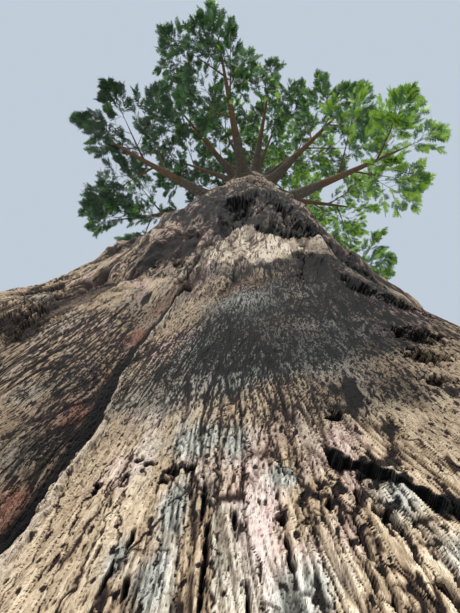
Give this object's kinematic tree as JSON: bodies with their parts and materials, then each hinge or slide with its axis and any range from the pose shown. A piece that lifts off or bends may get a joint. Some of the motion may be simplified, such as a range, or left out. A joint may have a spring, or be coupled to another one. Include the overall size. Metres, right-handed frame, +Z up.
{
  "type": "giant sequoia tree",
  "caption": "Tall conifer with a buttressed, fluted trunk that tapers slowly to its tip, arching boughs in a spiral and separate masses of toothed foliage sprays.",
  "frame": {"origin": "middle of the trunk's flat cut at ground level", "axes": "+Z up the trunk, -Y the side of the tree that the picture was taken from, +X to the right seen from that side"},
  "size_m": [11.7066, 11.6725, 40.0002],
  "materials": {
    "trunk_bark": "rough, fibrous",
    "bough_bark": "rough",
    "foliage_mid": "matt",
    "foliage_light": "matt",
    "foliage_dark": "matt"
  },
  "bodies": {
    "root": {"bough_01": "bough_bark", "bough_02": "bough_bark", "bough_03": "bough_bark", "bough_04": "bough_bark", "bough_05": "bough_bark", "bough_06": "bough_bark", "bough_07": "bough_bark", "bough_08": "bough_bark", "bough_09": "bough_bark", "bough_10": "bough_bark", "bough_11": "bough_bark", "bough_12": "bough_bark", "bough_13": "bough_bark", "bough_14": "bough_bark", "bough_15": "bough_bark", "bough_16": "bough_bark", "bough_17": "bough_bark", "bough_18": "bough_bark", "bough_19": "bough_bark", "bough_20": "bough_bark", "bough_21": "bough_bark", "bough_22": "bough_bark", "bough_23": "bough_bark", "bough_24": "bough_bark", "foliage_01": "foliage_mid", "foliage_02": "foliage_light", "foliage_03": "foliage_dark", "foliage_04": "foliage_mid", "foliage_05": "foliage_light", "foliage_06": "foliage_dark", "foliage_07": "foliage_mid", "foliage_08": "foliage_light", "foliage_09": "foliage_dark", "foliage_10": "foliage_mid", "foliage_11": "foliage_light", "foliage_12": "foliage_dark", "foliage_13": "foliage_mid", "foliage_14": "foliage_light", "foliage_15": "foliage_dark", "foliage_16": "foliage_mid", "foliage_17": "foliage_light", "foliage_18": "foliage_dark", "foliage_19": "foliage_mid", "foliage_20": "foliage_light", "foliage_21": "foliage_dark", "foliage_22": "foliage_mid", "foliage_23": "foliage_light", "foliage_24": "foliage_dark", "foliage_25": "foliage_mid", "foliage_26": "foliage_light", "foliage_27": "foliage_dark", "foliage_28": "foliage_mid", "foliage_29": "foliage_light", "foliage_30": "foliage_dark", "foliage_31": "foliage_mid", "foliage_32": "foliage_light", "foliage_33": "foliage_dark", "foliage_top": "foliage_mid", "trunk": "trunk_bark"}
  },
  "joints": []
}
